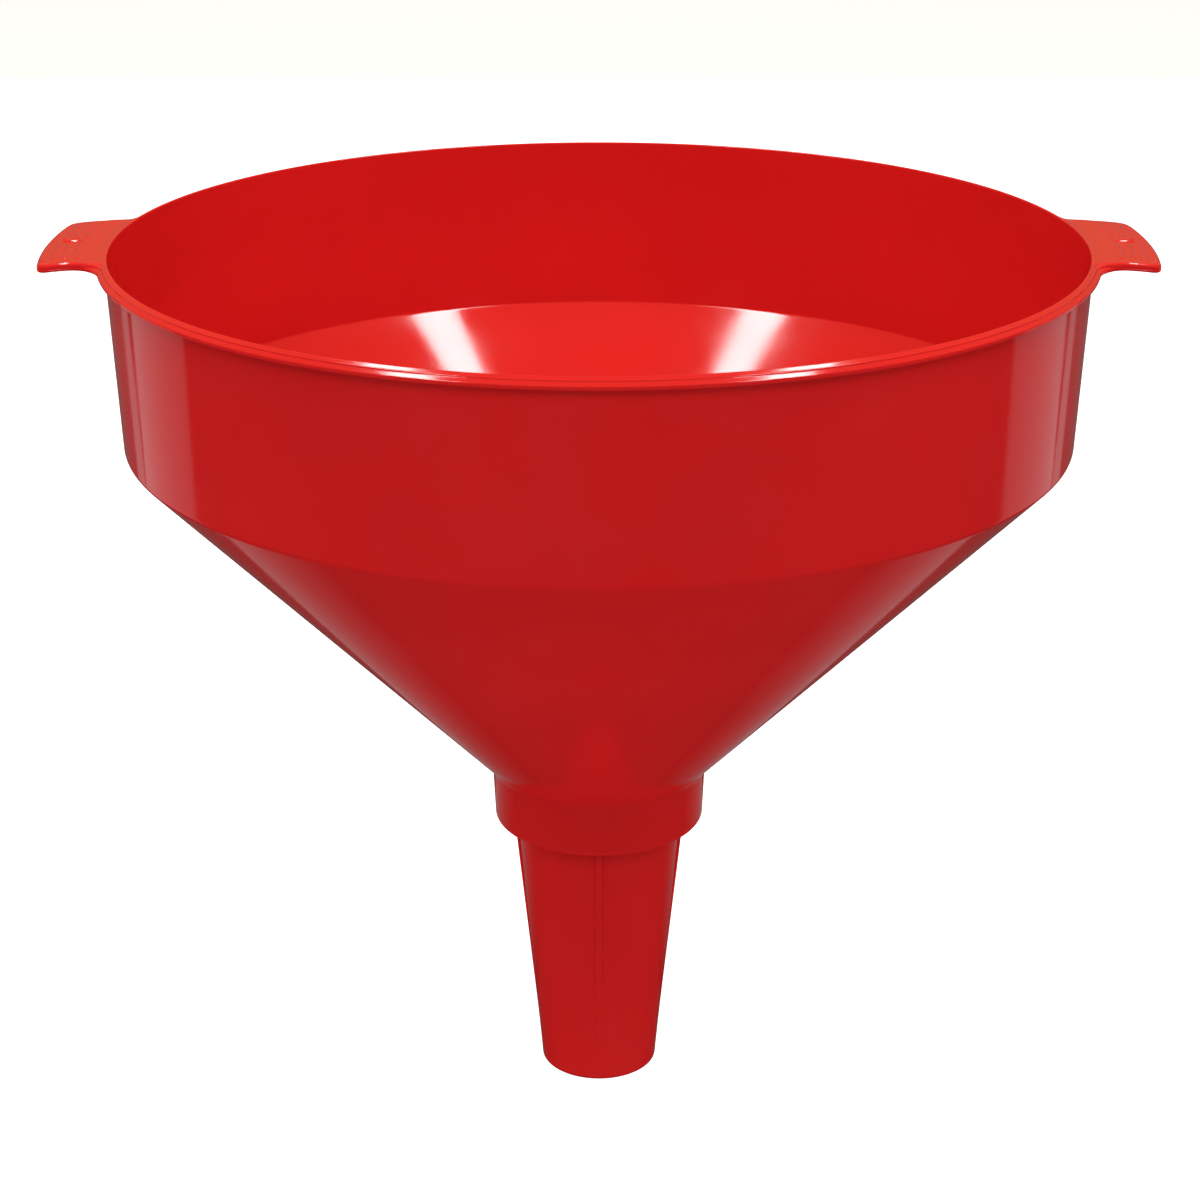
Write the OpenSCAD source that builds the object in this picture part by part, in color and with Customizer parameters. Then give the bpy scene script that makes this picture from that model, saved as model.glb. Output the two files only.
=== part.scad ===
// Large pouring funnel for fuel, oil and water: one moulded bowl with two ribbed ear
// grips, a tapered spout that drops into the bowl's collar, and a lift-out gauze strainer.
// The funnel's axis is Z, z = 0 is the tip of the spout, and the ears lie along X.

/* [Bowl] */
// Diameter over the rim
rim_d = 400; // [320:1:480]
// How far the rim bead's foot stands out from the wall
rim_proud = 3.1; // [2.4:0.1:6]
// Height of the rim bead
rim_h = 4; // [3:0.1:8]
// How much wider the bead is at its foot than at its top, on the radius
rim_flare = 1.8; // [0.5:0.1:2]
// Height of the upright lip at the bead's foot
rim_lip_h = 1; // [0.8:0.1:1.4]
// Radius of the lip's edges
rim_lip_r = 0.4; // [0.2:0.1:0.5]
// Radius of the rim's upper outer edge
rim_edge_r = 1; // [0.3:0.1:1]
// Radius of the rim's upper inner edge
rim_inner_r = 0.5; // [0.3:0.1:0.6]
// How much wider the bowl is inside the rim than just below it
rim_step = 0.8; // [0.2:0.1:0.9]
// Height of that wider band inside the rim
rim_step_h = 3.6; // [2:0.1:6]
// Height of the upright wall, rim top to cone
wall_h = 77.2; // [50:0.1:120]
// How much the wall's radius shrinks from the rim to its foot
wall_draft = 3; // [0:0.1:8]
// Height of the cone
cone_h = 153.8; // [110:0.1:200]
// Thickness of the wall and the cone
wall_t = 2; // [1.6:0.1:3.5]
// Outer radius of the corner between wall and cone
bowl_corner_r = 3; // [1:0.5:12]

/* [Collar] */
// Outside diameter of the collar at its foot
collar_d = 90.2; // [80:0.1:110]
// Height of the collar
collar_h = 24.1; // [20:0.1:40]
// How much the collar's radius grows from its foot to the cone
collar_draft = 1; // [0:0.1:2]
// Wall of the collar at its foot
collar_t = 2.4; // [2:0.1:4]
// Radius of the collar's lower outer edge
collar_edge_r = 1.9; // [0.5:0.1:5]
// Radius of the blend between cone and collar
neck_r = 6; // [2:0.5:12]
// Thickness of the ledge that the spout hangs on
ledge_t = 3; // [2:0.1:5]

/* [Spout] */
// Length of the spout below the collar
spout_len = 120.5; // [80:0.1:160]
// Outside diameter of the spout under the collar
spout_top_d = 71.6; // [58:0.1:76]
// Outside diameter of the spout at its tip
tip_d = 50.7; // [40:0.1:62]
// Wall of the spout under the collar
spout_t = 2.6; // [2:0.1:4]
// Bore of the outlet
outlet_d = 45; // [34:0.1:46]
// Length of the straight bore at the outlet
outlet_len = 10; // [6:0.5:20]
// Thickness of the flange that rests on the ledge
flange_t = 2.5; // [1.5:0.1:4]
// Number of vent ribs along the spout
vent_count = 4; // [2:1:8]
// Width of a vent rib
vent_w = 3.6; // [2:0.1:6]
// How far a vent rib stands out under the collar
vent_proud = 1.6; // [0.8:0.1:3]
// Length of a vent rib, which tapers to nothing
vent_len = 100; // [40:1:110]

/* [Ears] */
// How far an ear stands out from the rim
ear_reach = 23; // [15:0.5:40]
// Width of an ear across its outer corners
ear_w = 74; // [50:1:100]
// Thickness of an ear
ear_t = 3.4; // [2.5:0.1:5]
// How far an ear's top lies below the rim
ear_step = 0.5; // [0.4:0.1:1]
// How much lower an ear's outer edge is than its root
ear_droop = 1.5; // [0:0.1:3]
// Corner radius of an ear
ear_corner_r = 4.5; // [3:0.5:10]
// Largest blend radius between an ear's flank and the rim
ear_root_r = 14; // [8:1:24]
// Number of grip ribs on an ear
grip_count = 4; // [2:1:5]
// Distance between grip ribs
grip_pitch = 4.4; // [3:0.1:6]
// Width of a grip rib
grip_w = 1.6; // [1:0.1:2]
// Height of a grip rib
grip_h = 0.4; // [0.2:0.1:0.4]
// Distance between the outermost grip rib and the ear's edge
grip_inset = 2.4; // [1.5:0.1:5]
// Length of a grip rib on each side of the ear's middle
grip_len = 27; // [12:0.5:28]
// Half the gap at the middle of each grip rib
grip_gap = 3.6; // [1:0.1:5]
// Length of the radial ridge in that gap, which is level with the rim
ridge_len = 9; // [5:0.5:12]

/* [Strainer] */
// Height of the strainer frame
frame_h = 10; // [8:0.5:12]
// Radial width of the frame's upper ring
frame_w = 8; // [6:0.5:10]
// Depth of the recess under the frame that takes the gauze and the clamp ring
recess_h = 4; // [3.8:0.1:5]
// Radial width of the recess
recess_w = 4; // [3:0.5:5]
// Thickness of the wire gauze
gauze_t = 0.6; // [0.3:0.1:0.8]
// Height of the clamp ring
clamp_h = 3; // [2:0.1:3]
// Number of spokes in the frame
spoke_count = 4; // [3:1:8]
// Width of a spoke
spoke_w = 3; // [2:0.5:5]
// Height of a spoke
spoke_h = 3.4; // [2:0.1:4]
// Diameter of the hub and of the finger knob
knob_d = 16; // [12:0.5:24]
// Height of the finger knob above the spokes
knob_h = 17; // [12:0.5:24]
// Diameter of the knob's stem
stem_d = 8; // [5:0.5:10]

/* [Fits] */
// Gap around the strainer in the collar, on the radius
socket_gap = 0.4; // [0.2:0.05:1]
// Gap between the strainer and the flange under it
seat_gap = 0.3; // [0.2:0.05:0.5]
// Gap around the spout in the ledge, on the radius
ledge_gap = 0.1; // [0.05:0.05:0.3]
// Gap around the clamp ring in the frame, on the radius
clamp_gap = 0.05; // [0.02:0.01:0.1]

/* [Hidden] */
$fn = 96;
arc_steps = 6;                          // chords in each rounded corner of a profile
ear_arc_steps = 10;                     // chords in each arc of an ear's plan
overlap = 1;                            // how deep fused features reach into each other

rim_r = rim_d / 2;
wall_top_r = rim_r - rim_proud;
wall_foot_r = wall_top_r - wall_draft;
collar_foot_r = collar_d / 2;
collar_top_r = collar_foot_r + collar_draft;
socket_r = collar_foot_r - collar_t;
tip_r = tip_d / 2;
outlet_r = outlet_d / 2;
spout_top_r = spout_top_d / 2;
spout_in_r = spout_top_r - spout_t;
flange_r = socket_r - ledge_gap;
ledge_hole_r = spout_top_r + ledge_gap;

collar_foot_z = spout_len;
ledge_top_z = collar_foot_z + ledge_t;
flange_top_z = ledge_top_z + flange_t;
collar_top_z = collar_foot_z + collar_h;
cone_top_z = collar_top_z + cone_h;
rim_z = cone_top_z + wall_h;

cone_angle = atan2(cone_h, wall_foot_r - collar_top_r);
cone_rise = wall_t / cos(cone_angle);   // the cone's wall, measured straight up
inner_foot_r = wall_foot_r - wall_t;
inner_top_r = wall_top_r - wall_t;

ear_r = rim_r + ear_reach;
ear_in_r = wall_top_r - wall_t / 2;     // an ear's plate starts inside the wall
ear_bend_r = rim_r + ear_reach * 0.35;  // an ear is flat up to here, then slopes down
ear_top_z = rim_z - ear_step;
ear_corner_y = ear_w / 2 - ear_corner_r;
ear_corner_x = sqrt(pow(ear_r - ear_corner_r, 2) - pow(ear_corner_y, 2));
// Blend radius at which an ear's flank would be all blend
ear_root_limit = (pow(ear_corner_x, 2) + pow(ear_w / 2, 2) - pow(rim_r, 2)) / (rim_r - ear_w / 2) / 2;
ear_blend_r = min(ear_root_r, ear_root_limit);
ear_root_angle = asin((ear_w / 2 + ear_blend_r) / (rim_r + ear_blend_r));

frame_r = socket_r - socket_gap;
frame_z = flange_top_z + seat_gap;
frame_in_r = frame_r - frame_w;
recess_r = frame_in_r + recess_w;
seat_z = frame_z + recess_h;            // the gauze lies against this face from below
spoke_z = seat_z + spoke_h;
knob_z = spoke_z + knob_h;

// Height of the cone's inner face at radius r
function cone_inner_z(r) = collar_top_z + (r - collar_top_r) * tan(cone_angle) + cone_rise;

// Radius of the spout's outer face at height z
function spout_r(z) = tip_r + (spout_top_r - tip_r) * z / spout_len;

function unit(v) = v / norm(v);
function xy(p) = [p[0], p[1]];

// An arc of radius r that rounds the corner b between a and c
function corner(a, b, c, r) =
    let (u = unit(a - b))
    let (v = unit(c - b))
    let (half = acos(u * v) / 2)
    let (centre = b + unit(u + v) * r / sin(half))
    let (start = b + u * r / tan(half) - centre)
    let (turn = (u[0] * v[1] - u[1] * v[0] < 0 ? 1 : -1) * (180 - 2 * half))
    let (from = atan2(start[1], start[0]))
    [for (i = [0 : arc_steps])
        centre + r * [cos(from + turn * i / arc_steps), sin(from + turn * i / arc_steps)]];

// Points on an arc about a centre, from one angle to another
function arc(centre, r, from, to) =
    [for (i = [0 : ear_arc_steps])
        let (a = from + (to - from) * i / ear_arc_steps)
        centre + r * [cos(a), sin(a)]];

// A closed outline through points [x, y, radius], each corner rounded by its radius
function rounded(points) =
    let (n = len(points))
    [for (i = [0 : n - 1])
        let (a = xy(points[(i + n - 1) % n]))
        let (b = xy(points[i]))
        let (c = xy(points[(i + 1) % n]))
        each (points[i][2] > 0 ? corner(a, b, c, points[i][2]) : [b])];

// Wall section of the bowl, turned round the axis
module bowl_section() {
    polygon(rounded([
        [rim_r - rim_flare, rim_z, rim_edge_r],
        [rim_r, rim_z - rim_h + rim_lip_h, rim_lip_r],
        [rim_r, rim_z - rim_h, rim_lip_r],
        [wall_top_r, rim_z - rim_h, 0],
        [wall_foot_r, cone_top_z, bowl_corner_r],
        [collar_top_r, collar_top_z, neck_r],
        [collar_foot_r, collar_foot_z, collar_edge_r],
        [ledge_hole_r, collar_foot_z, 0],
        [ledge_hole_r, ledge_top_z, 0],
        [socket_r, ledge_top_z, 0],
        [socket_r, cone_inner_z(socket_r), neck_r / 2],
        [inner_foot_r, cone_inner_z(inner_foot_r), bowl_corner_r / 2],
        [inner_top_r, rim_z - rim_step_h, 0],
        [inner_top_r + rim_step, rim_z - rim_step_h, 0],
        [inner_top_r + rim_step, rim_z, rim_inner_r],
    ]));
}

// Plan of one ear: blends into the rim, two rounded corners and an edge concentric with the rim
module ear_plan() {
    corner_angle = atan2(ear_corner_y, ear_corner_x);
    root = (rim_r + ear_blend_r) * [cos(ear_root_angle), sin(ear_root_angle)];
    half = concat(
        [ear_in_r * [cos(ear_root_angle), sin(ear_root_angle)]],
        arc(root, ear_blend_r, 180 + ear_root_angle, 270),
        arc([ear_corner_x, ear_corner_y], ear_corner_r, 90, corner_angle),
        arc([0, 0], ear_r, corner_angle * 0.8, 0)
    );
    back = [for (i = [len(half) - 2 : -1 : 0]) [half[i][0], -half[i][1]]];
    polygon(concat(half, back));
}

// Plate that an ear is cut from: flat beside the rim, then sloping down, its top lifted by lift
module ear_plate(lift) {
    top = ear_top_z + lift;
    foot = ear_top_z - ear_t;
    rotate_extrude($fn = 180)
        polygon([
            [ear_in_r, foot],
            [ear_bend_r, foot],
            [ear_r + overlap, foot - ear_droop],
            [ear_r + overlap, top - ear_droop],
            [ear_bend_r, top],
            [ear_in_r, top],
        ]);
}

// Plan of the grip ribs on one ear, concentric with the rim and parted at the middle
module grip_plan() {
    for (i = [0 : grip_count - 1]) {
        r = ear_r - grip_inset - i * grip_pitch;
        intersection() {
            difference() {
                circle(r = r + grip_w / 2);
                circle(r = r - grip_w / 2);
            }
            union() {
                for (side = [-1, 1])
                    translate([r - 10, side > 0 ? grip_gap : -grip_gap - grip_len])
                        square([20, grip_len]);
            }
        }
    }
}

module ear() {
    ridge_r = ear_r - grip_inset - (grip_count - 1) * grip_pitch;
    intersection() {
        ear_plate(0);
        translate([0, 0, ear_top_z - ear_t - ear_droop])
            linear_extrude(ear_t + ear_droop + overlap)
                ear_plan();
    }
    intersection() {
        ear_plate(grip_h);
        translate([0, 0, ear_top_z - ear_droop - overlap])
            linear_extrude(ear_droop + 2 * overlap)
                grip_plan();
    }
    translate([ridge_r, -grip_w / 2, ear_top_z - overlap])
        cube([ridge_len, grip_w, overlap + ear_step]);
}

// Notches in the ledge that let the vent ribs through and keep the spout from turning
module vent_notches() {
    w = vent_w + 2 * ledge_gap;
    for (i = [0 : vent_count - 1])
        rotate([0, 0, i * 360 / vent_count])
            translate([spout_top_r - overlap, -w / 2, collar_foot_z - overlap])
                cube([overlap + vent_proud + ledge_gap, w, ledge_t + 2 * overlap]);
}

module bowl() {
    color("#c8191c") {
        difference() {
            rotate_extrude($fn = 180)
                bowl_section();
            vent_notches();
        }
        for (turn = [0, 180])
            rotate([0, 0, turn])
                ear();
    }
}

// Side view of one vent rib, deepest under the flange and gone at its lower end
module vent_rib() {
    foot_z = collar_foot_z - vent_len;
    rotate([90, 0, 0])
        translate([0, 0, -vent_w / 2])
            linear_extrude(vent_w)
                polygon([
                    [spout_r(foot_z) - overlap, foot_z],
                    [spout_r(foot_z) + 0.2, foot_z],
                    [spout_top_r + vent_proud, collar_foot_z],
                    [spout_top_r + vent_proud, ledge_top_z],
                    [spout_top_r - overlap, ledge_top_z],
                    [spout_top_r - overlap, collar_foot_z],
                ]);
}

module spout() {
    color("#b4191c") {
        rotate_extrude()
            polygon([
                [outlet_r, 0],
                [tip_r - 0.5, 0],
                [tip_r, 0.8],
                [spout_top_r, collar_foot_z],
                [spout_top_r, ledge_top_z],
                [flange_r, ledge_top_z],
                [flange_r, flange_top_z],
                [spout_in_r, flange_top_z],
                [spout_in_r, collar_foot_z],
                [outlet_r, outlet_len],
            ]);
        for (i = [0 : vent_count - 1])
            rotate([0, 0, i * 360 / vent_count])
                vent_rib();
    }
}

// Ring with a recess under it, spokes, hub and a finger knob to lift it by
module strainer_frame() {
    color("#c8191c") {
        rotate_extrude()
            polygon(rounded([
                [recess_r, frame_z, 0],
                [frame_r, frame_z, 0.5],
                [frame_r, frame_z + frame_h, 1],
                [frame_in_r, frame_z + frame_h, 1],
                [frame_in_r, seat_z, 0],
                [recess_r, seat_z, 0],
            ]));
        for (i = [0 : spoke_count - 1])
            rotate([0, 0, (i + 0.5) * 360 / spoke_count])
                translate([0, -spoke_w / 2, seat_z])
                    cube([frame_in_r + overlap, spoke_w, spoke_h]);
        translate([0, 0, seat_z])
            cylinder(d = knob_d, h = spoke_h);
        translate([0, 0, seat_z])
            cylinder(d = stem_d, h = knob_z - seat_z - 3);
        translate([0, 0, knob_z - 6])
            rotate_extrude()
                polygon(rounded([
                    [0, 0, 0],
                    [knob_d / 2, 0, 1.5],
                    [knob_d / 2, 6, 2],
                    [0, 6, 0],
                ]));
    }
}

module strainer_gauze() {
    color("#c9a24a")
        translate([0, 0, seat_z - gauze_t])
            cylinder(r = recess_r - clamp_gap, h = gauze_t);
}

module gauze_clamp_ring() {
    color("#c8191c")
        translate([0, 0, seat_z - gauze_t - clamp_h])
            difference() {
                cylinder(r = recess_r - clamp_gap, h = clamp_h);
                translate([0, 0, -overlap])
                    cylinder(r = frame_in_r, h = clamp_h + 2 * overlap);
            }
}

bowl();
spout();
strainer_frame();
strainer_gauze();
gauze_clamp_ring();
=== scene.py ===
"""Looks of the big red funnel: glossy moulded plastic, a woven gauze strainer, a pale studio floor."""
import math

import bpy
import numpy as np
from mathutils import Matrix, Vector


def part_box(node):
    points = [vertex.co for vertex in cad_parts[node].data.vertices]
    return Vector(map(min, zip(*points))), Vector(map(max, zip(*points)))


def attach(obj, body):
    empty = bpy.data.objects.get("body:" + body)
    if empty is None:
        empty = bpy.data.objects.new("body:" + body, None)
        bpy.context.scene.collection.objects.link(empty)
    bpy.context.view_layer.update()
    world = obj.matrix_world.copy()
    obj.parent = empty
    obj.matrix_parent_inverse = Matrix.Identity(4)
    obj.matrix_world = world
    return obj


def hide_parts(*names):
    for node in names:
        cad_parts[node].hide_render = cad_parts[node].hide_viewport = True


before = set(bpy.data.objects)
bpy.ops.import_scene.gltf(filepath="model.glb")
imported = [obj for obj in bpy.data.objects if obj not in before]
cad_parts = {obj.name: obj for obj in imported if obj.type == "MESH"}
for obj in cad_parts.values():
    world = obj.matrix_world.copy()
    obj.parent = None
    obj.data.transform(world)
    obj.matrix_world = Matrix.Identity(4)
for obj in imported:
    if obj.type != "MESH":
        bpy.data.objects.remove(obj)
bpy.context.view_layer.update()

MM = 0.001

# ---------------------------------------------------------------- sizes, in millimetres
# The frame gives the outside sizes. Walls, heights and steps are the CAD model's; the rim's top
# slopes and the edges and grip ridges are shaped more finely here than there.
bowl_low, bowl_high = (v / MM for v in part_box("bowl"))
spout_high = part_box("spout")[1] / MM
frame_low, frame_high = (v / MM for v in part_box("strainer_frame"))
gauze_low, gauze_high = (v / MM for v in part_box("strainer_gauze"))
clamp_low, clamp_high = (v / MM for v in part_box("gauze_clamp_ring"))

RIM_R = bowl_high.y
EAR_R = bowl_high.x
RIM_Z = bowl_high.z
COLLAR_FOOT_Z = bowl_low.z
WALL_H = 77.2
COLLAR_H = 24.1
WALL_T = 2.0
RIM_PROUD = 3.1
RIM_H = 4.0
RIM_FLARE = 1.8
RIM_LIP_H = 1.0
RIM_LIP_R = 0.4
RIM_SLOPE = 1.1
RIM_SLOPE_W = 1.8
RIM_EDGE_R = 0.5
RIM_INNER_R = 0.6
RIM_STEP = 0.8
WALL_DRAFT = 3.0
COLLAR_FOOT_R = 45.1
COLLAR_DRAFT = 1.0
COLLAR_T = 2.4
LEDGE_T = 3.0
LEDGE_GAP = 0.1
CORNER_R = 3.0
NECK_R = 6.0
COLLAR_EDGE_R = 1.9

WALL_TOP_R = RIM_R - RIM_PROUD
WALL_FOOT_R = WALL_TOP_R - WALL_DRAFT
CONE_TOP_Z = RIM_Z - WALL_H
COLLAR_TOP_Z = COLLAR_FOOT_Z + COLLAR_H
COLLAR_TOP_R = COLLAR_FOOT_R + COLLAR_DRAFT
SOCKET_R = COLLAR_FOOT_R - COLLAR_T
LEDGE_TOP_Z = COLLAR_FOOT_Z + LEDGE_T
CONE_ANGLE = math.atan2(CONE_TOP_Z - COLLAR_TOP_Z, WALL_FOOT_R - COLLAR_TOP_R)
BEAD_TOP_R = RIM_R - RIM_FLARE
LAND_R = BEAD_TOP_R - RIM_SLOPE_W

EAR_HALF = 37.0
EAR_ROOT_R = 14.0
EAR_CORNER_R = 4.5
EAR_T = 3.4
EAR_STEP = 0.5
EAR_STEP_W = 3.0
EAR_DROOP = 1.5
EAR_BEND_R = RIM_R + 4.0
EAR_EDGE_R = 1.5
EAR_LIP_R = 1.0
EAR_BLEND_FROM_R = RIM_R + 0.3
EAR_BLEND_TO_R = RIM_R + 6.0
GRIP_COUNT = 4
GRIP_PITCH = 4.4
GRIP_W = 2.8
GRIP_H = 0.4
GRIP_INSET = 2.4
GRIP_GAP = 3.6
GRIP_LEN = 27.0
RIDGE_LEN = 9.0
RIDGE_W = 2.4
RIDGE_RISE = 0.65
RIDGE_END_W = 0.1
RIDGE_SKIN = 0.02

SPOUT_TOP_R = 35.8
SPOUT_IN_R = 33.2
TIP_R = 25.35
OUTLET_R = 22.5
OUTLET_LEN = 10.0
VENT_COUNT = 4
VENT_W = 3.6
VENT_PROUD = 1.6
VENT_LEN = 100.0
VENT_ROOT = 0.8
VENT_SKIN = 0.03
SPOUT_LEN = COLLAR_FOOT_Z

FRAME_R = frame_high.x
FRAME_W = 8.0
FRAME_H = 10.0
FRAME_TOP_Z = frame_low.z + FRAME_H
RECESS_H = 4.0
RECESS_W = 4.0
SPOKE_COUNT = 4
SPOKE_W = 3.0
SPOKE_H = 3.4
KNOB_R = 8.0
KNOB_HEAD_H = 6.0
STEM_R = 4.0
SEAT_Z = frame_low.z + RECESS_H
FRAME_IN_R = FRAME_R - FRAME_W
RECESS_R = FRAME_IN_R + RECESS_W
WIRE_R = 0.22
WIRE_PITCH = 1.5
GAUZE_GAP = 0.2

# ---------------------------------------------------------------- studio sizes, in metres
PANEL_X = 0.78
FLOOR_GLOW = 0.85
BOUNCE_GLOW = 0.95
FLOOR_REACH = 6.0
BOUNCE_REACH = 2.5
CARD_LIFT = 0.001
CAMERA_LENS = 78.684
CAMERA_SHIFT_X = 0.00088
CAMERA_Y = -1.0388
CAMERA_RISE = 0.2470
CAMERA_TILT = math.radians(21.21)


# ---------------------------------------------------------------- outlines
def arc(centre, radius, start, end, steps):
    """Points on an arc, from angle start to end in radians."""
    angles = np.linspace(start, end, steps + 1)
    return [(centre[0] + radius * math.cos(a), centre[1] + radius * math.sin(a)) for a in angles]


def corner(a, b, c, radius, steps):
    """Arc of that radius which rounds the corner b between a and c."""
    a, b, c = Vector(a), Vector(b), Vector(c)
    u, v = (a - b).normalized(), (c - b).normalized()
    half = u.angle(v) / 2
    centre = b + (u + v).normalized() * radius / math.sin(half)
    start = b + u * radius / math.tan(half) - centre
    turn = (math.pi - 2 * half) * (1 if u.x * v.y - u.y * v.x < 0 else -1)
    first = math.atan2(start.y, start.x)
    return arc(centre, radius, first, first + turn, steps)


def rounded(points, closed=False, steps=8):
    """A path through points (x, y, radius), each corner rounded by its radius."""
    path = []
    count = len(points)
    for i, (x, y, radius) in enumerate(points):
        at_end = not closed and i in (0, count - 1)
        if radius <= 0 or at_end:
            path.append((x, y))
            continue
        before = points[(i - 1) % count][:2]
        after = points[(i + 1) % count][:2]
        path.extend(corner(before, (x, y), after, radius, steps))
    return path


def supported(path, gap=0.8, span=12.0, closed=False):
    """Adds points beside the ends of each long straight run, so that it shades flat."""
    out = []
    count = len(path)
    last = count if closed else count - 1
    for i in range(last):
        a, b = np.array(path[i]), np.array(path[(i + 1) % count])
        length = np.linalg.norm(b - a)
        out.append(tuple(a))
        if length < 4 * gap:
            continue
        inner = np.linspace(gap, length - gap, max(2, int(length / span) + 1))
        out.extend(tuple(a + (b - a) * t / length) for t in inner)
    if not closed:
        out.append(tuple(path[-1]))
    return out


# ---------------------------------------------------------------- mesh building
def grid_faces(rows, cols, first=0, close_rows=False, close_cols=True):
    """Quads over a grid of points stored row by row."""
    faces = []
    for i in range(rows if close_rows else rows - 1):
        below, above = first + i * cols, first + ((i + 1) % rows) * cols
        for j in range(cols if close_cols else cols - 1):
            k = (j + 1) % cols
            faces.append((below + j, below + k, above + k, above + j))
    return faces


class Shell:
    """Points and faces of one piece, gathered from several grids."""

    def __init__(self):
        self.points = []
        self.faces = []

    def grid(self, rows, close_rows=False, close_cols=True, caps=False):
        first = len(self.points)
        cols = len(rows[0])
        for row in rows:
            self.points.extend(tuple(p) for p in row)
        self.faces += grid_faces(len(rows), cols, first, close_rows, close_cols)
        if caps:
            self.faces.append(tuple(first + j for j in reversed(range(cols))))
            last = first + (len(rows) - 1) * cols
            self.faces.append(tuple(last + j for j in range(cols)))

    def lathe(self, section, steps, closed=True):
        """Turns a section of (radius, height) points round the axis."""
        angles = [2 * math.pi * j / steps for j in range(steps)]
        rows = [[(r * math.cos(a), r * math.sin(a), z) for a in angles] for r, z in section]
        self.grid(rows, close_rows=closed)

    def piece(self, name, material, body, *nodes, slot="red_plastic"):
        """Makes the object, in metres, and ties it to its body and CAD nodes."""
        mesh = bpy.data.meshes.new(name)
        points = (np.array(self.points) * MM).tolist()
        mesh.from_pydata(points, [], self.faces)
        mesh.validate()
        mesh.polygons.foreach_set("use_smooth", [True] * len(mesh.polygons))
        mesh.materials.append(material)
        obj = bpy.data.objects.new(name, mesh)
        bpy.context.scene.collection.objects.link(obj)
        fix_normals(obj)
        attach(obj, body)
        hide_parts(*nodes)
        return obj


def fix_normals(obj):
    """Turns every face of each closed shell outwards."""
    import bmesh
    bm = bmesh.new()
    bm.from_mesh(obj.data)
    bmesh.ops.recalc_face_normals(bm, faces=bm.faces)
    bm.to_mesh(obj.data)
    bm.free()


# ---------------------------------------------------------------- bowl
def ear_half_outline(steps):
    """Even points from the ear's root on the rim to the middle of its outer edge."""
    root = (math.sqrt((RIM_R + EAR_ROOT_R) ** 2 - (EAR_HALF + EAR_ROOT_R) ** 2), EAR_HALF + EAR_ROOT_R)
    root_angle = math.atan2(root[1], root[0])
    tip_y = EAR_HALF - EAR_CORNER_R
    tip = (math.sqrt((EAR_R - EAR_CORNER_R) ** 2 - tip_y ** 2), tip_y)
    tip_angle = math.atan2(tip[1], tip[0])
    path = arc(root, EAR_ROOT_R, math.pi + root_angle, 1.5 * math.pi, 60)
    path += arc(tip, EAR_CORNER_R, math.pi / 2, tip_angle, 40)
    path += arc((0, 0), EAR_R, tip_angle, 0, 60)[1:]
    path = np.array(path)
    run = np.concatenate([[0], np.cumsum(np.linalg.norm(np.diff(path, axis=0), axis=1))])
    even = np.linspace(0, run[-1], steps + 1)
    return np.stack([np.interp(even, run, path[:, k]) for k in (0, 1)], axis=1), root_angle


def rim_outline():
    """Plan of rim and ears: angles of the columns, outline points and their outward normals."""
    half, root_angle = ear_half_outline(72)
    ear = np.concatenate([half * [1, -1], half[-2::-1]])
    ear_angles = np.linspace(-root_angle, root_angle, len(ear))
    side_angles = np.linspace(root_angle, math.pi - root_angle, 205)[1:-1]
    side = RIM_R * np.stack([np.cos(side_angles), np.sin(side_angles)], axis=1)
    angles = np.concatenate([ear_angles, side_angles, ear_angles + math.pi, side_angles + math.pi])
    outline = np.concatenate([ear, side, -ear, -side])
    tangent = np.roll(outline, -1, axis=0) - np.roll(outline, 1, axis=0)
    normal = np.stack([tangent[:, 1], -tangent[:, 0]], axis=1)
    return angles, outline, normal / np.linalg.norm(normal, axis=1, keepdims=True)


def smooth_step(x, low, high):
    """0 below low, 1 above high, and a smooth rise between them."""
    t = np.clip((x - low) / (high - low), 0, 1)
    return t * t * (3 - 2 * t)


def ear_top(r):
    """Height of an ear's upper face at radius r."""
    droop = np.clip((r - EAR_BEND_R) / (EAR_R - EAR_BEND_R), 0, 1)
    return RIM_Z - EAR_STEP * smooth_step(r, LAND_R, LAND_R + EAR_STEP_W) - EAR_DROOP * droop ** 2


def top_height(plan, on_ear):
    """Height of the upper face: sloping outwards on the plain rim, nearly flat on an ear."""
    r = np.linalg.norm(plan, axis=1)
    slope = RIM_SLOPE * np.clip((r - LAND_R) / RIM_SLOPE_W, 0, 1)
    return (1 - on_ear) * (RIM_Z - slope) + on_ear * ear_top(r)


def foot_height(plan, on_ear):
    """Height of the lower face of the rim and the ears."""
    r = np.linalg.norm(plan, axis=1)
    return (1 - on_ear) * (RIM_Z - RIM_H) + on_ear * (ear_top(r) - EAR_T)


def raised(plan, height):
    """Plan points with a height for each."""
    return np.column_stack([plan, np.broadcast_to(height, len(plan))])


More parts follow.
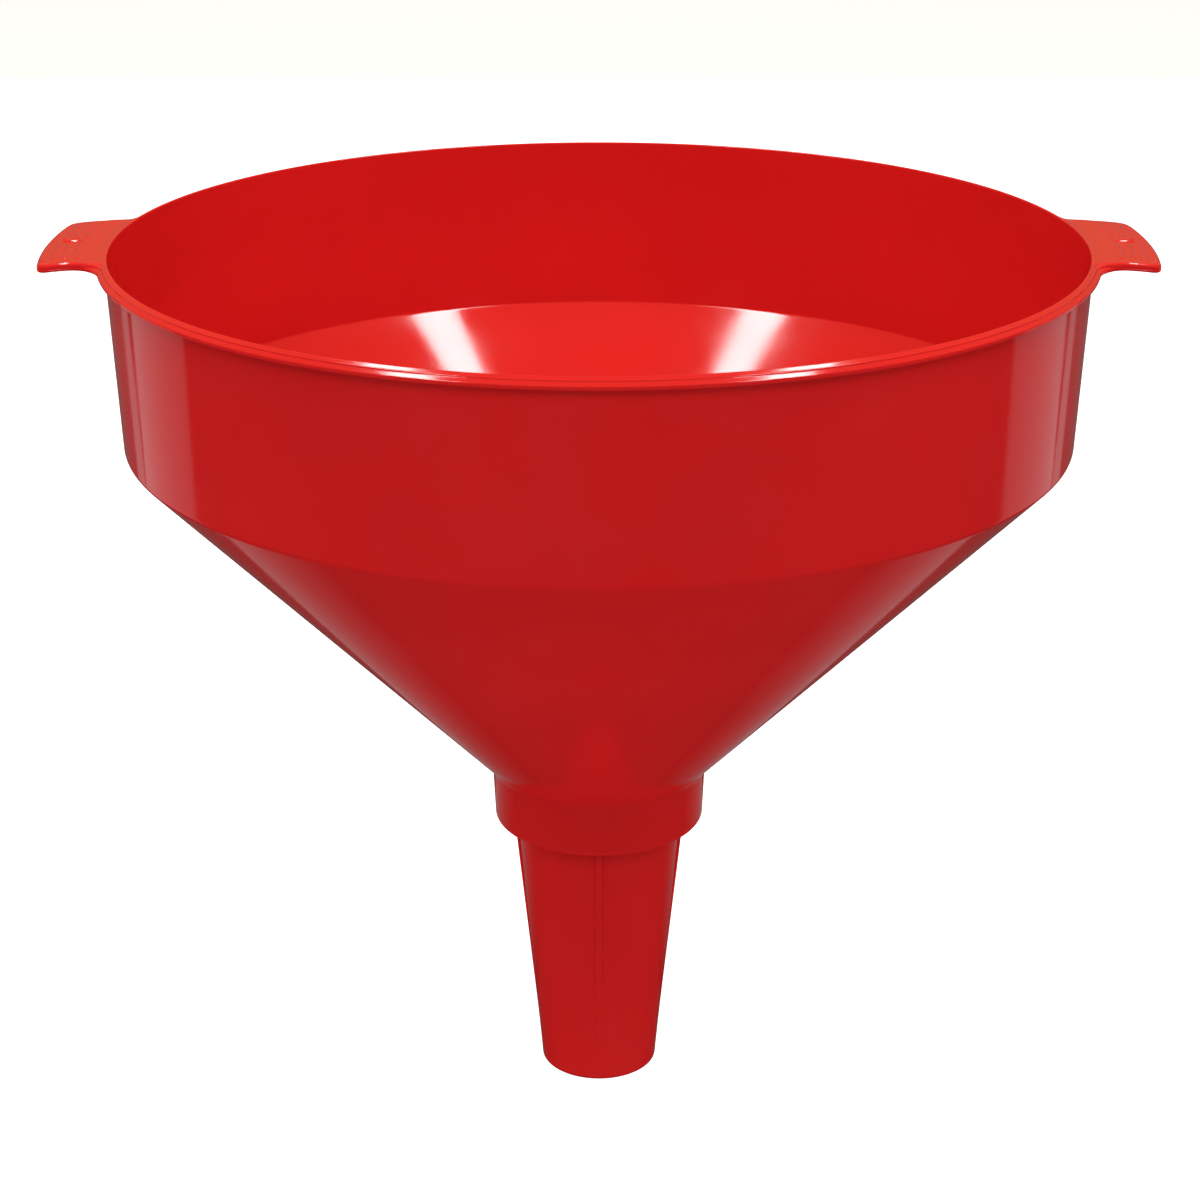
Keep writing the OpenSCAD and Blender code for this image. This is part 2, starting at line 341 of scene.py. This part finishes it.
def bowl_rows():
    """Closed rows of points: over the rim and ears, down outside, and up inside."""
    angles, outline, normal = rim_outline()
    way = np.stack([np.cos(angles), np.sin(angles)], axis=1)
    land = way * LAND_R
    under = way * (WALL_TOP_R + 0.02)
    on_ear = smooth_step(np.linalg.norm(outline, axis=1), EAR_BLEND_FROM_R, EAR_BLEND_TO_R)
    edge_r = RIM_EDGE_R + (EAR_EDGE_R - RIM_EDGE_R) * on_ear
    lip_r = RIM_LIP_R + (EAR_LIP_R - RIM_LIP_R) * on_ear
    flare = RIM_FLARE * (1 - on_ear)
    lip_h = RIM_LIP_H * (1 - on_ear)
    top_plan = outline - normal * (edge_r + flare)[:, None]
    foot_plan = outline - normal * lip_r[:, None]
    edge_top = top_height(top_plan, on_ear)
    edge_foot = foot_height(foot_plan, on_ear)
    rows = []
    for t in np.linspace(0, 1, 17)[:-1]:
        plan = land + (top_plan - land) * t
        rows.append(raised(plan, top_height(plan, on_ear)))
    for a in np.linspace(0, math.pi / 2, 8):
        plan = top_plan + normal * (edge_r * math.sin(a))[:, None]
        rows.append(raised(plan, edge_top - edge_r * (1 - math.cos(a))))
    side_top = edge_top - edge_r
    side_foot = edge_foot + lip_r
    for t in (0.15, 0.5, 0.85):
        plan = outline - normal * (flare * (1 - t))[:, None]
        rows.append(raised(plan, side_top + (side_foot + lip_h - side_top) * t))
    for t in (0.0, 0.5):
        rows.append(raised(outline, side_foot + lip_h * (1 - t)))
    for a in np.linspace(math.pi / 2, 0, 10):
        plan = foot_plan + normal * (lip_r * math.sin(a))[:, None]
        rows.append(raised(plan, edge_foot + lip_r * (1 - math.cos(a))))
    for t in np.linspace(0, 1, 10)[1:]:
        plan = foot_plan + (under - foot_plan) * t
        rows.append(raised(plan, foot_height(plan, on_ear)))
    for r, z in supported(wall_path())[:-1]:
        rows.append(raised(way * r, z))
    return rows


def wall_path():
    """Section from under the rim, down the outside, through the ledge and up to the rim's land."""
    rise = WALL_T / math.cos(CONE_ANGLE)
    inner_foot_r = WALL_FOOT_R - WALL_T
    inner_top_r = WALL_TOP_R - WALL_T

    def inner_z(r):
        return COLLAR_TOP_Z + (r - COLLAR_TOP_R) * math.tan(CONE_ANGLE) + rise

    hole_r = SPOUT_TOP_R + LEDGE_GAP
    return rounded([
        (WALL_TOP_R - 0.02, RIM_Z - RIM_H - 0.05, 0),
        (WALL_TOP_R - 0.05, RIM_Z - RIM_H - 0.6, 0),
        (WALL_FOOT_R, CONE_TOP_Z, CORNER_R),
        (COLLAR_TOP_R, COLLAR_TOP_Z, NECK_R),
        (COLLAR_FOOT_R, COLLAR_FOOT_Z, COLLAR_EDGE_R),
        (hole_r, COLLAR_FOOT_Z, 0.3),
        (hole_r, LEDGE_TOP_Z, 0.3),
        (SOCKET_R, LEDGE_TOP_Z, 0.5),
        (SOCKET_R, inner_z(SOCKET_R), NECK_R / 2),
        (inner_foot_r, inner_z(inner_foot_r), CORNER_R / 2),
        (inner_top_r + RIM_STEP, RIM_Z, RIM_INNER_R),
        (LAND_R, RIM_Z, 0),
    ])


def ridge(shell, line, width, heights, taper, flat=1.0, sink=0.4, steps=14):
    """A ridge along a line of (x, y, z) points, fading out over taper at both ends.

    A larger flat makes its crest broader; sink is how deep its root reaches into the part.
    """
    line = np.array(line)
    tangent = np.gradient(line, axis=0)
    side = np.column_stack([tangent[:, 1], -tangent[:, 0], np.zeros(len(line))])
    side /= np.linalg.norm(side, axis=1, keepdims=True)
    run = np.concatenate([[0], np.cumsum(np.linalg.norm(np.diff(line, axis=0), axis=1))])
    to_end = np.minimum(run, run[-1] - run)
    fade = np.sqrt(np.clip(1 - (1 - np.clip(to_end / taper, 0, 1)) ** 2, 0, 1))
    rows = []
    for point, across, f, height in zip(line, side, fade, heights):
        half = across * width / 2 * (RIDGE_END_W + (1 - RIDGE_END_W) * f)
        row = []
        for t in np.linspace(-1, 1, steps + 1):
            lift = height * f * (0.5 + 0.5 * math.cos(math.pi * abs(t) ** flat))
            row.append(point + half * t + np.array([0, 0, lift - RIDGE_SKIN]))
        for edge in (0.9, -0.9):
            row.append(point + half * edge - np.array([0, 0, sink]))
        rows.append(row)
    shell.grid(rows, caps=True)


def add_grips(shell, turn):
    """Grip ridges on the ear on the side that turn (1 or -1) names."""
    first_r = EAR_R - GRIP_INSET - (GRIP_COUNT - 1) * GRIP_PITCH
    for i in range(GRIP_COUNT):
        r = first_r + i * GRIP_PITCH
        for side in (-1, 1):
            ys = np.linspace(GRIP_GAP, GRIP_GAP + GRIP_LEN, 60) * side
            xs = np.sqrt(r * r - ys * ys)
            line = np.column_stack([xs * turn, ys, np.full(len(ys), ear_top(r))])
            ridge(shell, line, GRIP_W, np.full(len(ys), GRIP_H), GRIP_W / 2)
    xs = np.linspace(first_r, first_r + RIDGE_LEN, 40)
    line = np.column_stack([xs * turn, np.zeros(len(xs)), ear_top(xs)])
    ridge(shell, line, RIDGE_W, (RIM_Z - ear_top(xs)) * RIDGE_RISE, RIDGE_LEN / 2, flat=1.5)


def make_bowl(material):
    """The bowl: rim, wall, cone, collar with its ledge, and both ears with their grips."""
    shell = Shell()
    shell.grid(bowl_rows(), close_rows=True)
    for turn in (-1, 1):
        add_grips(shell, turn)
    return shell.piece("bowl_shell", material, "funnel", "bowl")


# ---------------------------------------------------------------- spout
def spout_r(z):
    """Outer radius of the tapered spout at height z."""
    return TIP_R + (SPOUT_TOP_R - TIP_R) * z / SPOUT_LEN


def add_vent_rib(shell, turn):
    """One vent rib, full height under the collar and fading to nothing down the spout."""
    rows = []
    foot_z = COLLAR_FOOT_Z - VENT_LEN
    c, s = math.cos(turn), math.sin(turn)
    for z in np.linspace(foot_z, LEDGE_TOP_Z, 60):
        base = spout_r(min(z, COLLAR_FOOT_Z))
        rise = VENT_PROUD * min(1.0, (z - foot_z) / VENT_LEN)
        row = []
        for t in np.linspace(-1, 1, 15):
            lift = rise * (1 - abs(t) ** 5)
            r = base + lift - VENT_SKIN
            w = t * VENT_W / 2
            row.append((r * c - w * s, r * s + w * c, z))
        for t in (1, -1):
            r, w = base - VENT_ROOT, t * VENT_W / 2
            row.append((r * c - w * s, r * s + w * c, z))
        rows.append(row)
    shell.grid(rows, caps=True)


def make_spout(material):
    """The tapered spout with its flange and vent ribs."""
    shell = Shell()
    flange_r = SOCKET_R - LEDGE_GAP
    section = rounded([
        (OUTLET_R, 0, 0.8),
        (TIP_R, 0, 0.8),
        (SPOUT_TOP_R, COLLAR_FOOT_Z, 0),
        (SPOUT_TOP_R, LEDGE_TOP_Z, 0),
        (flange_r, LEDGE_TOP_Z, 0),
        (flange_r, spout_high.z, 0.4),
        (SPOUT_IN_R, spout_high.z, 0.8),
        (SPOUT_IN_R, COLLAR_FOOT_Z, 2),
        (OUTLET_R, OUTLET_LEN, 3),
    ], closed=True)
    shell.lathe(supported(section, closed=True), 256)
    for i in range(VENT_COUNT):
        add_vent_rib(shell, i * 2 * math.pi / VENT_COUNT)
    return shell.piece("spout_tube", material, "funnel", "spout")


# ---------------------------------------------------------------- strainer
def add_bar(shell, start, end, low, high, width, turn):
    """A straight bar along the direction turn, with a rounded upper side."""
    c, s = math.cos(turn), math.sin(turn)
    outline = rounded([
        (-width / 2, low, 0.3), (width / 2, low, 0.3),
        (width / 2, high, 1.1), (-width / 2, high, 1.1),
    ], closed=True, steps=5)
    rows = [[(r * c - w * s, r * s + w * c, z) for w, z in outline] for r in np.linspace(start, end, 12)]
    shell.grid(rows, caps=True)


def make_strainer_frame(material):
    """Ring, spokes and finger knob of the lift-out strainer."""
    shell = Shell()
    ring = rounded([
        (RECESS_R, frame_low.z, 0.2),
        (FRAME_R, frame_low.z, 0.5),
        (FRAME_R, FRAME_TOP_Z, 1),
        (FRAME_IN_R, FRAME_TOP_Z, 1.5),
        (FRAME_IN_R, SEAT_Z, 0.2),
        (RECESS_R, SEAT_Z, 0.2),
    ], closed=True)
    shell.lathe(supported(ring, gap=0.4, closed=True), 192)
    for i in range(SPOKE_COUNT):
        turn = (i + 0.5) * 2 * math.pi / SPOKE_COUNT
        add_bar(shell, KNOB_R - 2, FRAME_IN_R + 1, SEAT_Z, SEAT_Z + SPOKE_H, SPOKE_W, turn)
    head_z = frame_high.z - KNOB_HEAD_H
    knob = rounded([
        (0, SEAT_Z, 0), (KNOB_R, SEAT_Z, 0.3), (KNOB_R, SEAT_Z + SPOKE_H, 1.2),
        (STEM_R, SEAT_Z + SPOKE_H, 2), (STEM_R, head_z, 1.5), (KNOB_R, head_z, 1.5),
        (KNOB_R, frame_high.z, 2), (0, frame_high.z, 0),
    ])
    knob = [(max(r, 0.01), z) for r, z in knob]
    shell.lathe(supported(knob, gap=0.4), 96, closed=True)
    return shell.piece("strainer_frame_part", material, "strainer", "strainer_frame")


def make_clamp_ring(material):
    """The ring that holds the gauze in the frame from below."""
    shell = Shell()
    section = rounded([
        (FRAME_IN_R, clamp_low.z, 0.4), (clamp_high.x, clamp_low.z, 0.4),
        (clamp_high.x, clamp_high.z, 0.2), (FRAME_IN_R, clamp_high.z, 0.2),
    ], closed=True)
    shell.lathe(section, 192)
    return shell.piece("clamp_ring_part", material, "strainer", "gauze_clamp_ring")


def make_gauze(material):
    """Plain-weave wires on two directions, each passing over and under the others."""
    shell = Shell()
    radius = gauze_high.x - GAUZE_GAP
    middle = (gauze_low.z + gauze_high.z) / 2
    swing = (gauze_high.z - gauze_low.z) / 2 - WIRE_R
    count = int(radius / WIRE_PITCH)
    ring = [(math.cos(a), math.sin(a)) for a in np.arange(6) * math.pi / 3]
    for across in (0, 1):
        for i in range(-count, count + 1):
            offset = i * WIRE_PITCH
            reach = math.sqrt(max(radius ** 2 - offset ** 2, 0))
            if reach < 2 * WIRE_PITCH:
                continue
            along = np.arange(-reach, reach, WIRE_PITCH / 4)
            phase = math.pi * (i + across)
            lift = middle + swing * np.cos(math.pi * along / WIRE_PITCH + phase)
            rows = []
            for t, z in zip(along, lift):
                circle = [(offset + WIRE_R * c, t, z + WIRE_R * s) for c, s in ring]
                rows.append([(y, x, h) if across else (x, y, h) for x, y, h in circle])
            shell.grid(rows, caps=True)
    return shell.piece("wire_gauze", material, "strainer", "strainer_gauze", slot="brass_gauze")


# ---------------------------------------------------------------- materials
def new_material(name):
    """A material with its nodes, its links and its main shader."""
    material = bpy.data.materials.new(name)
    material.use_nodes = True
    nodes, links = material.node_tree.nodes, material.node_tree.links
    return material, nodes, links, nodes["Principled BSDF"]


def noise(nodes, links, vector, scale, detail=2.0, rough=0.5):
    """Strength of a noise texture."""
    node = nodes.new("ShaderNodeTexNoise")
    node.inputs["Scale"].default_value = scale
    node.inputs["Detail"].default_value = detail
    node.inputs["Roughness"].default_value = rough
    links.new(vector, node.inputs["Vector"])
    return node.outputs["Fac"]


def mapped(nodes, links, value, low, high, to_low, to_high):
    """The value's range low to high spread over to_low to to_high."""
    node = nodes.new("ShaderNodeMapRange")
    node.inputs["From Min"].default_value = low
    node.inputs["From Max"].default_value = high
    node.inputs["To Min"].default_value = to_low
    node.inputs["To Max"].default_value = to_high
    links.new(value, node.inputs["Value"])
    return node.outputs["Result"]


def tinted(nodes, links, value, first, second):
    """A colour between two stops, each given as (position, red, green, blue)."""
    node = nodes.new("ShaderNodeValToRGB")
    for element, (position, *colour) in zip(node.color_ramp.elements, (first, second)):
        element.position = position
        element.color = (*colour, 1)
    links.new(value, node.inputs["Fac"])
    return node.outputs["Color"]


def red_plastic():
    """Glossy moulded polyethylene with faint flow marks, orange peel and uneven gloss."""
    material, nodes, links, shader = new_material("red_plastic")
    place = nodes.new("ShaderNodeTexCoord").outputs["Object"]
    flow = noise(nodes, links, place, 9.0, 3.0)
    tint = tinted(nodes, links, flow, (0.3, 0.60, 0.0110, 0.0115), (0.7, 0.66, 0.0130, 0.0135))
    links.new(tint, shader.inputs["Base Color"])
    haze = noise(nodes, links, place, 30.0, 4.0, 0.6)
    links.new(mapped(nodes, links, haze, 0.35, 0.75, 0.06, 0.13), shader.inputs["Roughness"])
    peel = noise(nodes, links, place, 700.0, 2.0)
    bump = nodes.new("ShaderNodeBump")
    bump.inputs["Strength"].default_value = 0.04
    bump.inputs["Distance"].default_value = 0.0002
    links.new(peel, bump.inputs["Height"])
    links.new(bump.outputs["Normal"], shader.inputs["Normal"])
    shader.inputs["IOR"].default_value = 1.5
    return material


def brass():
    """Drawn brass wire, slightly tarnished."""
    material, nodes, links, shader = new_material("brass_wire")
    place = nodes.new("ShaderNodeTexCoord").outputs["Object"]
    stain = noise(nodes, links, place, 60.0, 3.0)
    tint = tinted(nodes, links, stain, (0.35, 0.42, 0.27, 0.09), (0.65, 0.78, 0.56, 0.22))
    links.new(tint, shader.inputs["Base Color"])
    links.new(mapped(nodes, links, stain, 0.3, 0.7, 0.45, 0.25), shader.inputs["Roughness"])
    shader.inputs["Metallic"].default_value = 1.0
    return material


def floor_material():
    """Pale matt floor with a faint mottle and a glow that keeps it near white."""
    material, nodes, links, shader = new_material("studio_floor")
    place = nodes.new("ShaderNodeTexCoord").outputs["Object"]
    mottle = noise(nodes, links, place, 1.2, 2.0)
    tint = tinted(nodes, links, mottle, (0.0, 0.50, 0.50, 0.50), (1.0, 0.54, 0.54, 0.54))
    links.new(tint, shader.inputs["Base Color"])
    shader.inputs["Roughness"].default_value = 0.9
    shader.inputs["Specular IOR Level"].default_value = 0.0
    shader.inputs["Emission Color"].default_value = (1, 1, 1, 1)
    shader.inputs["Emission Strength"].default_value = FLOOR_GLOW
    return material


# ---------------------------------------------------------------- studio
def level(reach, front, rear, height):
    """Corners of a level rectangle that lies evenly about x = 0."""
    return [(-reach, front, height), (reach, front, height), (reach, rear, height), (-reach, rear, height)]


def quad(name, corners, material):
    """A single four-sided face that belongs to the studio, not to the part."""
    mesh = bpy.data.meshes.new(name)
    mesh.from_pydata(corners, [], [(0, 1, 2, 3)])
    mesh.materials.append(material)
    obj = bpy.data.objects.new(name, mesh)
    bpy.context.scene.collection.objects.link(obj)
    return obj


def make_floor():
    """The floor, seen by the camera; the bounce card stands in for the light it returns."""
    floor = quad("floor", level(FLOOR_REACH, -FLOOR_REACH, FLOOR_REACH, 0), floor_material())
    floor.visible_glossy = False
    floor.visible_diffuse = False


def card(name, corners, low, high, axis=1, glossy=True):
    """A dim panel that only reflections see, or only soft light, its glow running from low to high."""
    material = bpy.data.materials.new(name)
    material.use_nodes = True
    nodes, links = material.node_tree.nodes, material.node_tree.links
    nodes.remove(nodes["Principled BSDF"])
    glow = nodes.new("ShaderNodeEmission")
    place = nodes.new("ShaderNodeTexCoord").outputs["Object"]
    split = nodes.new("ShaderNodeSeparateXYZ")
    links.new(place, split.inputs[0])
    values = [c[axis] for c in corners]
    strength = mapped(nodes, links, split.outputs[axis], min(values), max(values), low, high)
    links.new(strength, glow.inputs["Strength"])
    links.new(glow.outputs[0], nodes["Material Output"].inputs["Surface"])
    obj = quad(name, corners, material)
    obj.visible_camera = False
    obj.visible_diffuse = not glossy
    obj.visible_glossy = glossy
    obj.visible_shadow = False
    obj.visible_transmission = False


def make_cards():
    """Side panels and a table card, mirrored on both sides, as the funnel's gloss shows them."""
    low, high = -0.12, 0.45

    def upright(name, x, front, rear, glow):
        """A card in the plane x, its front and rear edges given as y at its foot and at its top."""
        card(name, [(x, front[0], low), (x, rear[0], low), (x, rear[1], high), (x, front[1], high)], *glow)

    for side in (-1, 1):
        upright(f"panel_{side}", side * PANEL_X, (0.154, 0.022), (0.625, 0.41), (0.26, 0.62))
        upright(f"gap_{side}", side * (PANEL_X + 0.01), (0.50, 0.35), (0.63, 0.61), (0.0, 0.0))
        upright(f"strip_{side}", side * PANEL_X, (0.605, 0.59), (0.80, 0.61), (0.40, 0.34))
    card("table_card", level(0.33, 0.04, 0.25, CARD_LIFT), 0.0, 0.25)
    under = level(BOUNCE_REACH, -BOUNCE_REACH, BOUNCE_REACH, CARD_LIFT)
    card("bounce", under, BOUNCE_GLOW, BOUNCE_GLOW, glossy=False)


def area_light(name, place, target, size, power, glossy=True):
    """A soft rectangular light that the camera doesn't see."""
    data = bpy.data.lights.new(name, "AREA")
    data.shape = "RECTANGLE"
    data.size, data.size_y = size
    data.energy = power
    light = bpy.data.objects.new(name, data)
    bpy.context.scene.collection.objects.link(light)
    light.location = place
    light.rotation_euler = (Vector(target) - Vector(place)).to_track_quat("-Z", "Y").to_euler()
    light.visible_camera = False
    light.visible_glossy = glossy


def make_lights():
    """Two narrow lights above the bowl, two wide ones at the sides and one high in front."""
    for side in (-1, 1):
        area_light(f"key_{side}", (side * 0.475, -0.02, 1.45), (side * 0.475, -0.02, 0), (0.125, 0.9), 7.7)
        area_light(f"side_{side}", (side * 1.6, 0.3, 0.8), (0, 0, 0.25), (1.0, 1.0), 6.6, glossy=False)
    area_light("front_top", (0, -1.9, 2.1), (0, 0, 0.25), (2.0, 1.2), 32.0, glossy=False)


def make_world():
    """White backdrop for the camera; for light and reflections, dim in front and paler behind and above."""
    world = bpy.data.worlds.new("studio")
    bpy.context.scene.world = world
    world.use_nodes = True
    nodes, links = world.node_tree.nodes, world.node_tree.links
    around = nodes["Background"]
    way = nodes.new("ShaderNodeTexCoord").outputs["Generated"]
    split = nodes.new("ShaderNodeSeparateXYZ")
    links.new(way, split.inputs[0])
    behind = mapped(nodes, links, split.outputs["Y"], 0.3, 0.9, 0.03, 0.24)
    above = mapped(nodes, links, split.outputs["Z"], 0.1, 0.9, 0.0, 0.28)
    not_below = mapped(nodes, links, split.outputs["Z"], -0.6, 0.25, 0.15, 1.0)
    total = nodes.new("ShaderNodeMath")
    total.operation = "MULTIPLY_ADD"
    links.new(behind, total.inputs[0])
    links.new(not_below, total.inputs[1])
    links.new(above, total.inputs[2])
    links.new(total.outputs[0], around.inputs["Strength"])
    sky = tinted(nodes, links, split.outputs["Z"], (0.0, 1.0, 0.94, 0.90), (0.2, 1.0, 0.76, 0.38))
    links.new(sky, around.inputs["Color"])
    seen = nodes.new("ShaderNodeBackground")
    seen.inputs["Color"].default_value = (1, 1, 1, 1)
    seen.inputs["Strength"].default_value = 1.0
    mix = nodes.new("ShaderNodeMixShader")
    path = nodes.new("ShaderNodeLightPath")
    links.new(path.outputs["Is Camera Ray"], mix.inputs["Fac"])
    links.new(around.outputs[0], mix.inputs[1])
    links.new(seen.outputs[0], mix.inputs[2])
    links.new(mix.outputs[0], nodes["World Output"].inputs["Surface"])


def make_camera():
    """The camera in front of the funnel, looking down at it."""
    data = bpy.data.cameras.new("camera")
    data.sensor_width = 36.0
    data.lens = CAMERA_LENS
    data.shift_x = CAMERA_SHIFT_X
    data.clip_end = 50.0
    camera = bpy.data.objects.new("camera", data)
    bpy.context.scene.collection.objects.link(camera)
    camera.location = (0, CAMERA_Y, RIM_Z * MM + CAMERA_RISE)
    camera.rotation_euler = (math.pi / 2 - CAMERA_TILT, 0, 0)
    bpy.context.scene.camera = camera


make_camera()
plastic = red_plastic()
make_bowl(plastic)
make_spout(plastic)
make_strainer_frame(plastic)
make_clamp_ring(plastic)
make_gauze(brass())
make_floor()
make_cards()
make_lights()
make_world()
bpy.context.scene.view_settings.view_transform = "Standard"
